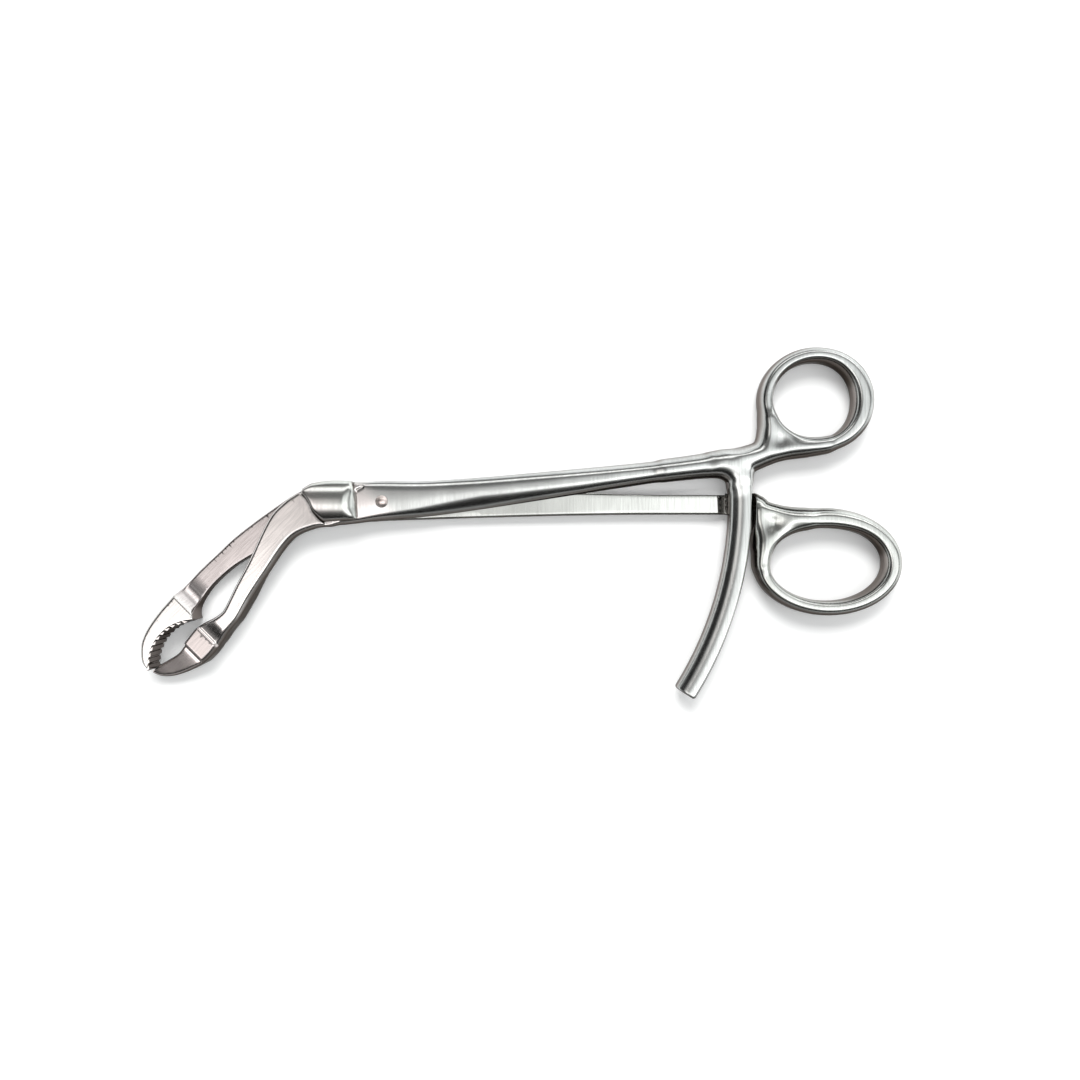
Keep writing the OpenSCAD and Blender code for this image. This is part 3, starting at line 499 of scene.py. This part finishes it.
# room for the lug, its web and the running gap over the lower layer
openPlan = [(-lugFar - 0.06, 2 + armW), (-lugFar - 0.06, 1.94), (-lugFar + 0.94, 1.04), (-lugFar + 1.84, -0.36),
            (-lugFar + 2.64, -2.36), (-lugFar + 3.84, -3.86), (-lugFar + 5.14, -armW / 2 - 0.36),
            (-lugFar + 8, -armW), (-9.0, -armW), (-9.0, armW)]
cut(field, slab(openPlan, plateTop, 20), ratchetArm["room"])
webSide = forceps["webY"]
ix, iy, webRoom = slab([(-lugFar - 8, webSide), (0, webSide), (0, armW), (-lugFar - 8, armW)], -5, 20)
webRoom = np.maximum(webRoom, forceps["bossR"] - swing[ix, iy][:, None])
cut(field, (ix, iy, webRoom.astype(np.float32)), ratchetArm["room"])
cut(field, rod(*ratchetArm["stopGroove"]), 0.1)
ratchetPiece = meshOf("ratchetArm", field)
del field
print("stage: ratchet arm done")


def mathNode(nodes, links, kind, *values):
    node = nodes.new("ShaderNodeMath")
    node.operation = kind
    for slot, value in enumerate(values):
        if isinstance(value, (int, float)):
            node.inputs[slot].default_value = value
        else:
            links.new(value, node.inputs[slot])
    return node.outputs[0]


def dotNode(nodes, links, source, direction):
    node = nodes.new("ShaderNodeVectorMath")
    node.operation = "DOT_PRODUCT"
    links.new(source, node.inputs[0])
    node.inputs[1].default_value = direction
    return node.outputs["Value"]


def socketId(tree, name):
    return next(i.identifier for i in tree.interface.items_tree if i.name == name and i.in_out == "INPUT")


def toothTree():      # row of ridges along an arc, by geometry nodes
    tree = bpy.data.node_groups.new("toothRow", "GeometryNodeTree")
    tree.is_modifier = True
    tree.interface.new_socket(name="Teeth Mesh", in_out="OUTPUT", socket_type="NodeSocketGeometry")
    for name, kind in (("Radius", "Float"), ("Start", "Float"), ("Sweep", "Float"), ("Teeth", "Int"),
                       ("Tooth Width", "Float"), ("Tooth Depth", "Float"), ("Tooth Length", "Float"),
                       ("Tooth Turn", "Vector"), ("Centre", "Vector"), ("Finish", "Material")):
        tree.interface.new_socket(name=name, in_out="INPUT", socket_type="NodeSocket" + kind)
    nodes, links = tree.nodes, tree.links
    given, result = nodes.new("NodeGroupInput"), nodes.new("NodeGroupOutput")
    maths = partial(mathNode, nodes, links)
    prism = nodes.new("GeometryNodeMeshCylinder")
    prism.inputs["Vertices"].default_value = 3
    prism.inputs["Radius"].default_value = 1
    prism.inputs["Depth"].default_value = 1
    size = nodes.new("ShaderNodeCombineXYZ")
    links.new(maths("DIVIDE", given.outputs["Tooth Depth"], 1.5), size.inputs[0])
    links.new(maths("DIVIDE", given.outputs["Tooth Width"], sqrt(3)), size.inputs[1])
    links.new(given.outputs["Tooth Length"], size.inputs[2])
    shaped = nodes.new("GeometryNodeTransform")
    links.new(prism.outputs["Mesh"], shaped.inputs["Geometry"])
    links.new(size.outputs[0], shaped.inputs["Scale"])
    links.new(given.outputs["Tooth Turn"], shaped.inputs["Rotation"])
    line = nodes.new("GeometryNodeMeshLine")
    links.new(given.outputs["Teeth"], line.inputs["Count"])
    index = nodes.new("GeometryNodeInputIndex")
    portion = maths("DIVIDE", index.outputs[0], maths("SUBTRACT", given.outputs["Teeth"], 1.0))
    turn = maths("ADD", given.outputs["Start"], maths("MULTIPLY", given.outputs["Sweep"], portion))
    place = nodes.new("ShaderNodeCombineXYZ")
    links.new(maths("MULTIPLY", given.outputs["Radius"], maths("COSINE", turn)), place.inputs[0])
    links.new(maths("MULTIPLY", given.outputs["Radius"], maths("SINE", turn)), place.inputs[1])
    spread = nodes.new("GeometryNodeSetPosition")
    links.new(line.outputs[0], spread.inputs["Geometry"])
    links.new(place.outputs[0], spread.inputs["Position"])
    spin = nodes.new("ShaderNodeCombineXYZ")
    links.new(turn, spin.inputs[2])
    copies = nodes.new("GeometryNodeInstanceOnPoints")
    links.new(spread.outputs[0], copies.inputs["Points"])
    links.new(shaped.outputs[0], copies.inputs["Instance"])
    links.new(spin.outputs[0], copies.inputs["Rotation"])
    moved = nodes.new("GeometryNodeTransform")
    links.new(copies.outputs[0], moved.inputs["Geometry"])
    links.new(given.outputs["Centre"], moved.inputs["Translation"])
    realize = nodes.new("GeometryNodeRealizeInstances")
    links.new(moved.outputs[0], realize.inputs[0])
    finish = nodes.new("GeometryNodeSetMaterial")
    links.new(realize.outputs[0], finish.inputs["Geometry"])
    links.new(given.outputs["Finish"], finish.inputs["Material"])
    links.new(finish.outputs[0], result.inputs[0])
    return tree


def ramp(nodes, links, source, low, high, outLow=0.0, outHigh=1.0):
    node = nodes.new("ShaderNodeMapRange")
    node.interpolation_type = "SMOOTHSTEP"
    for slot, value in zip(("From Min", "From Max", "To Min", "To Max"), (low, high, outLow, outHigh)):
        node.inputs[slot].default_value = value
    links.new(source, node.inputs["Value"])
    return node.outputs["Result"]


def grainGroup():      # fine brush lines and soft cloudiness, stretched along one direction
    tree = bpy.data.node_groups.new("brushGrain", "ShaderNodeTree")
    for name, kind in (("Turn", "Vector"), ("Spacing", "Vector"), ("Cloud Size", "Float")):
        tree.interface.new_socket(name=name, in_out="INPUT", socket_type="NodeSocket" + kind)
    for name in ("Lines", "Cloud"):
        tree.interface.new_socket(name=name, in_out="OUTPUT", socket_type="NodeSocketFloat")
    nodes, links = tree.nodes, tree.links
    given, result = nodes.new("NodeGroupInput"), nodes.new("NodeGroupOutput")
    coords = nodes.new("ShaderNodeTexCoord")
    turned = nodes.new("ShaderNodeVectorRotate")
    turned.rotation_type = "EULER_XYZ"
    links.new(coords.outputs["Object"], turned.inputs["Vector"])
    links.new(given.outputs["Turn"], turned.inputs["Rotation"])
    scaled = nodes.new("ShaderNodeVectorMath")
    scaled.operation = "MULTIPLY"
    links.new(turned.outputs[0], scaled.inputs[0])
    links.new(given.outputs["Spacing"], scaled.inputs[1])
    lines = nodes.new("ShaderNodeTexNoise")
    lines.inputs["Scale"].default_value = 1
    lines.inputs["Detail"].default_value = 3
    links.new(scaled.outputs[0], lines.inputs["Vector"])
    links.new(lines.outputs["Fac"], result.inputs["Lines"])
    cloud = nodes.new("ShaderNodeTexNoise")
    cloud.inputs["Detail"].default_value = 2
    links.new(coords.outputs["Object"], cloud.inputs["Vector"])
    links.new(given.outputs["Cloud Size"], cloud.inputs["Scale"])
    links.new(cloud.outputs["Fac"], result.inputs["Cloud"])
    return tree


def speckleGroup():    # small pits and dark specks left by use
    tree = bpy.data.node_groups.new("useSpecks", "ShaderNodeTree")
    for name in ("Density", "Amount"):
        tree.interface.new_socket(name=name, in_out="INPUT", socket_type="NodeSocketFloat")
    tree.interface.new_socket(name="Specks", in_out="OUTPUT", socket_type="NodeSocketFloat")
    nodes, links = tree.nodes, tree.links
    given, result = nodes.new("NodeGroupInput"), nodes.new("NodeGroupOutput")
    coords = nodes.new("ShaderNodeTexCoord")
    spots = nodes.new("ShaderNodeTexVoronoi")
    links.new(coords.outputs["Object"], spots.inputs["Vector"])
    links.new(given.outputs["Density"], spots.inputs["Scale"])
    near = ramp(nodes, links, spots.outputs["Distance"], 0.06, 0.2, 1, 0)
    patch = nodes.new("ShaderNodeTexNoise")
    patch.inputs["Scale"].default_value = 140
    links.new(coords.outputs["Object"], patch.inputs["Vector"])
    where = ramp(nodes, links, patch.outputs["Fac"], 0.5, 0.62)
    both = mathNode(nodes, links, "MULTIPLY", near, where)
    links.new(mathNode(nodes, links, "MULTIPLY", both, given.outputs["Amount"]), result.inputs["Specks"])
    return tree


grain, specks = grainGroup(), speckleGroup()


# brushed steel whose base colour also carries painted shade on walls and slopes and painted light and shade bands
# along the jaws
def steelMaterial(name, look):
    mat = bpy.data.materials.new(name)
    mat.use_nodes = True
    nodes, links = mat.node_tree.nodes, mat.node_tree.links
    shader = nodes["Principled BSDF"]
    shader.inputs["Metallic"].default_value = 1
    shader.inputs["Specular Tint"].default_value = look["rim"]
    maths, slide = partial(mathNode, nodes, links), partial(ramp, nodes, links)

    def placed(group, **values):
        node = nodes.new("ShaderNodeGroup")
        node.node_tree = group
        for key, value in values.items():
            node.inputs[key.replace("_", " ")].default_value = value
        return node

    def blendColour(kind, amount, one, two):
        node = nodes.new("ShaderNodeMix")
        node.data_type = "RGBA"
        node.blend_type = kind
        for slot, value in (("Factor_Float", amount), ("A_Color", one), ("B_Color", two)):
            socket = next(s for s in node.inputs if s.identifier == slot)
            if isinstance(value, bpy.types.NodeSocket):
                links.new(value, socket)
            else:
                socket.default_value = value
        return next(s for s in node.outputs if s.identifier == "Result_Color")

    acrossArm = placed(grain, Turn=(0, 0, 0), Spacing=(3200, 130, 500), Cloud_Size=90)
    jawTurn = -radians(forceps["jawAngle"])
    alongJaw = placed(grain, Turn=(0, 0, jawTurn), Spacing=(150, 3000, 500), Cloud_Size=60)
    coords = nodes.new("ShaderNodeTexCoord")
    along = dotNode(nodes, links, coords.outputs["Object"], (-jawCos, -jawSin, 0))      # distance along the bent jaws
    jawShare = slide(along, 0.0135, 0.0175)
    lines = nodes.new("ShaderNodeMix")
    links.new(jawShare, lines.inputs["Factor"])
    links.new(acrossArm.outputs["Lines"], lines.inputs["A"])
    links.new(alongJaw.outputs["Lines"], lines.inputs["B"])
    lineOut = lines.outputs["Result"]
    pits = placed(specks, Density=2600, Amount=look["specks"])
    cloud = slide(acrossArm.outputs["Cloud"], 0.35, 0.65)
    colour = look["handle"]
    # painted light and shade: bands across the jaws get their own lighter or darker tone, standing in for how each
    # tilted face catches the light
    for start, end, paintedTone in look["paintedLightBands"]:
        colour = blendColour("MIX", slide(along, start, end), colour, paintedTone)
    colour = blendColour("MULTIPLY", cloud, colour, look["cloud"])
    colour = blendColour("MULTIPLY", slide(lineOut, 0.35, 0.65, 0, look["lineShare"]), colour, look["line"])
    colour = blendColour("MIX", pits.outputs["Specks"], colour, look["speckColour"])
    # painted shade: the base colour turns dark on steep walls, standing in for the dark surroundings they would
    # reflect
    normal = nodes.new("ShaderNodeNewGeometry").outputs["Normal"]
    facing = nodes.new("ShaderNodeSeparateXYZ")
    links.new(normal, facing.inputs[0])
    faceY, faceZ = facing.outputs["Y"], facing.outputs["Z"]
    lean = dotNode(nodes, links, normal, (0.83, 0.56, 0))      # slopes towards the bright side get less painted shade
    paintedShadeByLean = maths("MULTIPLY", slide(lean, 0.1, 0.5, 0, 0.8), slide(faceZ, 0.06, 0.3))
    paintedShadeByLean = slide(paintedShadeByLean, 0, 1, look["paintedWallShade"], 0)
    paintedWallMask = maths("MULTIPLY", slide(faceZ, 0.25, 0.9, 1, 0), paintedShadeByLean)
    # painted shade colour of the walls, darkest on walls facing -Y
    wall = blendColour("MIX", slide(faceY, -0.75, -0.1), look["paintedShadeFront"], look["wall"])
    colour = blendColour("MIX", paintedWallMask, colour, wall)
    # painted shade on slopes facing -Y, even where they are not steep
    paintedFrontMask = maths("MULTIPLY", slide(faceZ, 0.66, 0.968, look["paintedFrontShade"], 0), slide(faceY, -0.5, -0.18, 1, 0))
    colour = blendColour("MIX", paintedFrontMask, colour, look["paintedShadeFront"])
    links.new(colour, shader.inputs["Base Color"])
    links.new(slide(lineOut, 0.3, 0.7, *look["rough"]), shader.inputs["Roughness"])
    bump = nodes.new("ShaderNodeBump")
    bump.inputs["Strength"].default_value = look["bump"]
    bump.inputs["Distance"].default_value = 0.00002
    links.new(lineOut, bump.inputs["Height"])
    links.new(bump.outputs["Normal"], shader.inputs["Normal"])
    return mat


# the wall colours and the wall and front shade amounts are painted shade in the base colour
steelLook = {
    "cloud": (0.86, 0.86, 0.86, 1), "line": (0.72, 0.71, 0.71, 1), "lineShare": 0.3,
    "speckColour": (0.12, 0.11, 0.11, 1), "wall": (0.20, 0.175, 0.165, 1),
    "paintedShadeFront": (0.07, 0.062, 0.056, 1), "paintedWallShade": 0.9, "paintedFrontShade": 0.92,
    "rim": (0.45, 0.43, 0.42, 1), "rough": (0.16, 0.22), "bump": 0.1, "specks": 0.5,
}
# the bands along the jaws below are painted light and shade tones, lighter on faces that catch the light and darker
# on tilted ones
lockSteel = steelMaterial("brushedSteelLock", dict(
    steelLook, handle=(0.66, 0.68, 0.655, 1),
    paintedLightBands=((0.006, 0.016, (0.66, 0.615, 0.61, 1)), (0.0512, 0.0524, (0.95, 0.93, 0.91, 1)))))
ratchetSteel = steelMaterial("brushedSteelRatchet", dict(
    steelLook, handle=(0.66, 0.68, 0.67, 1),
    paintedLightBands=((-0.002, 0.003, (0.93, 0.885, 0.87, 1)), (0.008, 0.014, (0.82, 0.785, 0.77, 1)),
             (0.024, 0.036, (0.95, 0.915, 0.90, 1)),
             (0.0532, 0.0541, (0.60, 0.55, 0.54, 1)), (0.0589, 0.0593, (0.88, 0.81, 0.79, 1)))))
# the stud's lighter pink base colour is a painted sheen standing in for the bright reflection on its dome
studPaintedSheenSteel = steelMaterial("studSteelWithPaintedSheen", dict(
    steelLook, handle=(0.95, 0.84, 0.80, 1), paintedLightBands=(), rough=(0.3, 0.38), paintedWallShade=0.75, specks=0.2))

teethRows = {
    "jawTeeth": {"finish": lockSteel, "radius": lockArm["hollowR"] + 0.25, "teeth": 11, "width": 1.5,
                 "depth": 0.5, "length": headH - 0.04, "turn": (0, 0, pi - 0.3), "z": headH / 2 - 0.01},
    "barTeeth": {"finish": ratchetSteel, "radius": (ratchetR + barR) / 2, "teeth": 31, "width": 1.42,
                 "depth": 0.5, "length": forceps["barW"] - 0.7, "turn": (0, pi / 2, 0), "z": forceps["barZ"] + 0.334},
    "padTeeth": {"finish": lockSteel, "radius": (ratchetR + barR) / 2, "teeth": 3, "width": 1.42,
                 "depth": 0.46, "length": forceps["barW"] + 0.8, "turn": (0, -pi / 2, 0), "z": padTop + 0.09},
}
toothFirst, toothLast = [acos((share * jawLen - lockArm["hollowAlong"] * jawLen) / lockArm["hollowR"])
                         for share in (0.72, 0.965)]
teethTree = toothTree()


def teethPiece(name, row, start, sweep, centre):
    holder = bpy.data.objects.new(name + "Holder", bpy.data.meshes.new(name + "Holder"))
    bpy.context.scene.collection.objects.link(holder)
    nodes = holder.modifiers.new("teeth", "NODES")
    nodes.node_group = teethTree
    for key, value in (("Radius", row["radius"] / 1000), ("Start", start), ("Sweep", sweep),
                       ("Teeth", row["teeth"]), ("Tooth Width", row["width"] / 1000),
                       ("Tooth Depth", row["depth"] / 1000), ("Tooth Length", row["length"] / 1000),
                       ("Tooth Turn", row["turn"]), ("Finish", row["finish"]),
                       ("Centre", (centre[0] / 1000, centre[1] / 1000, row["z"] / 1000))):
        nodes[socketId(teethTree, key)] = value
    made = bpy.data.meshes.new_from_object(holder.evaluated_get(bpy.context.evaluated_depsgraph_get()))
    made.name = name
    made.materials.clear()
    made.materials.append(row["finish"])
    bpy.data.objects.remove(holder)
    piece = bpy.data.objects.new(name, made)
    bpy.context.scene.collection.objects.link(piece)
    print("piece", name, "faces", len(made.polygons), "materials", list(made.materials))
    return piece


jawBase = radians(180 + forceps["jawAngle"])
jawTeeth = teethPiece("jawTeeth", teethRows["jawTeeth"], jawBase - toothFirst, toothFirst - toothLast, hollowCentre)
pitchTurn = forceps["pitch"] / ((ratchetR + barR) / 2)
barTeeth = teethPiece("barTeeth", teethRows["barTeeth"], 0, -30 * pitchTurn, (0, 0))
padTeeth = teethPiece("padTeeth", teethRows["padTeeth"], pitchTurn, -2 * pitchTurn, (0, 0))

lockPiece.data.materials.append(lockSteel)
ratchetPiece.data.materials.append(ratchetSteel)
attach(lockPiece, "lock_arm_body")
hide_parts("lock_arm")
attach(jawTeeth, "lock_arm_body")
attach(padTeeth, "lock_arm_body")
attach(barTeeth, "ratchet_arm_body")
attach(ratchetPiece, "ratchet_arm_body")
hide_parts("ratchet_arm")
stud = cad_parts["pivot_stud"]
for slot in stud.material_slots:
    slot.material = studPaintedSheenSteel
print("stage: pieces placed")

# floor, light and camera
studio = {"floorSize": 3.0, "floorColour": (0.93, 0.945, 0.95, 1), "camera": (0.03892, -0.00945, 0.2508),
          "angle": 57.07, "white": 0.12}
bpy.ops.mesh.primitive_plane_add(size=studio["floorSize"], location=(0.04, 0, -0.0002))
floor = bpy.context.object
floor.name = "studioFloor"
paper = bpy.data.materials.new("paleFloor")
paper.use_nodes = True
paperShader = paper.node_tree.nodes["Principled BSDF"]
paperShader.inputs["Base Color"].default_value = studio["floorColour"]
paperShader.inputs["Roughness"].default_value = 0.9
paperShader.inputs["Specular IOR Level"].default_value = 0.1
paperLinks, paperNodes = paper.node_tree.links, paper.node_tree.nodes
path = paperNodes.new("ShaderNodeLightPath")
seen = path.outputs["Is Camera Ray"]
for ray in ("Is Glossy Ray", "Is Transmission Ray"):
    seen = mathNode(paperNodes, paperLinks, "MAXIMUM", seen, path.outputs[ray])
shown = ramp(paperNodes, paperLinks, seen, 0, 1, 0, studio["white"])
paperLinks.new(shown, paperShader.inputs["Emission Strength"])
paperShader.inputs["Emission Color"].default_value = (0.97, 0.99, 1.0, 1)
floor.data.materials.append(paper)


def areaLight(name, place, turn, size, power, colour):
    lamp = bpy.data.lights.new(name, "AREA")
    lamp.shape = "RECTANGLE"
    lamp.size, lamp.size_y = size
    lamp.energy = power
    lamp.color = colour
    holder = bpy.data.objects.new(name, lamp)
    holder.location = place
    holder.rotation_euler = [radians(a) for a in turn]
    holder.visible_glossy = False
    bpy.context.scene.collection.objects.link(holder)


areaLight("softBoxAbove", (0.0, 0.50, 0.68), (-36, 0, 0), (0.45, 0.35), 6.0, (1.0, 0.985, 0.97))

world = bpy.data.worlds.new("studioSky")
world.use_nodes = True
bpy.context.scene.world = world
skyNodes, skyLinks = world.node_tree.nodes, world.node_tree.links
# a dim room with long soft panels: how bright it is by the angle from the zenith, towards +Y and towards +X
sky = {
    "rows": ((-90, 0.03), (-52, 0.04), (-42, 0.12), (-35, 0.3), (-29, 0.8), (-23, 1.5), (-13, 1.5), (-8, 0.9),
             (0, 0.55), (8, 0.33), (14, 0.24), (34, 0.21), (38, 0.7), (42, 2.0), (49, 2.0), (53, 0.6), (56, 0.24),
             (75, 0.15), (90, 0.1)),
    "right": 0.9, "far": 0.4, "left": 0.75, "corner": 0.7, "wall": 0.95,
}
skyMath, skyRamp = partial(mathNode, skyNodes, skyLinks), partial(ramp, skyNodes, skyLinks)
outward = skyNodes.new("ShaderNodeTexCoord").outputs["Generated"]
skyAxis = skyNodes.new("ShaderNodeSeparateXYZ")
skyLinks.new(outward, skyAxis.inputs[0])
toX, toY = [skyMath("MULTIPLY", skyMath("ARCTAN2", skyAxis.outputs[axis], skyAxis.outputs["Z"]), 180 / pi)
            for axis in "XY"]
bands = skyNodes.new("ShaderNodeFloatCurve")
curve = bands.mapping.curves[0]
for i, (turn, value) in enumerate(sky["rows"]):
    spot = ((turn + 90) / 180, value / 2)
    if i < 2:
        curve.points[i].location = spot
    else:
        curve.points.new(*spot)
bands.mapping.use_clip = False
bands.mapping.update()
skyLinks.new(skyMath("DIVIDE", skyMath("ADD", toY, 90.0), 180.0), bands.inputs["Value"])
rows = skyMath("MULTIPLY", bands.outputs[0], 2.0)
window = skyMath("MULTIPLY", skyRamp(toX, -36, -26), skyRamp(toX, 48, 66, 1, 0))
rows = skyMath("MULTIPLY", rows, skyMath("ADD", skyMath("MULTIPLY", window, 0.9), 0.1))


def skyPanel(xRise, xFall, yRise, yFall):
    return skyMath("MULTIPLY", skyMath("MULTIPLY", skyRamp(toX, *xRise), skyRamp(toX, *xFall)),
                   skyMath("MULTIPLY", skyRamp(toY, *yRise), skyRamp(toY, *yFall)))


rightSide = skyPanel((-3, 9), (38, 58, 1, sky["far"]), (-34, -20), (6, 30, sky["right"], 0))
leftSide = skyPanel((-15, -11, 1, 0), (-31, -25), (-38, -25), (4, 14, sky["left"], 0))
lowSide = dotNode(skyNodes, skyLinks, outward, (0.68, 0.68, 0.27))      # low window for the valleys of the jaws
lowWindow = skyMath("MULTIPLY", skyRamp(lowSide, 0.84, 0.95), sky["corner"])
paleWall = skyRamp(skyAxis.outputs["Z"], 0.25, 0.32, sky["wall"], 0)      # pale wall around the table
rightSide = skyMath("ADD", skyMath("ADD", rightSide, lowWindow), paleWall)
total = skyNodes.new("ShaderNodeCombineXYZ")
for i, tint in enumerate(((1.0, 0.98, 1.0), (0.985, 1.0, 0.94), (0.975, 1.0, 0.91))):
    lit = skyMath("ADD", skyMath("MULTIPLY", rows, tint[0]), skyMath("MULTIPLY", rightSide, tint[1]))
    skyLinks.new(skyMath("ADD", lit, skyMath("MULTIPLY", leftSide, tint[2])), total.inputs[i])
skyLinks.new(total.outputs[0], skyNodes["Background"].inputs["Color"])
skyNodes["Background"].inputs["Strength"].default_value = 1
print("stage: floor, light and sky done")

camera = bpy.data.cameras.new("photoCamera")
camera.sensor_fit = "HORIZONTAL"
camera.angle = radians(studio["angle"])
camera.clip_start = 0.005
view = bpy.data.objects.new("photoCamera", camera)
view.location = studio["camera"]
bpy.context.scene.collection.objects.link(view)
bpy.context.scene.camera = view
bpy.context.scene.view_settings.view_transform = "Standard"

bpy.context.view_layer.update()
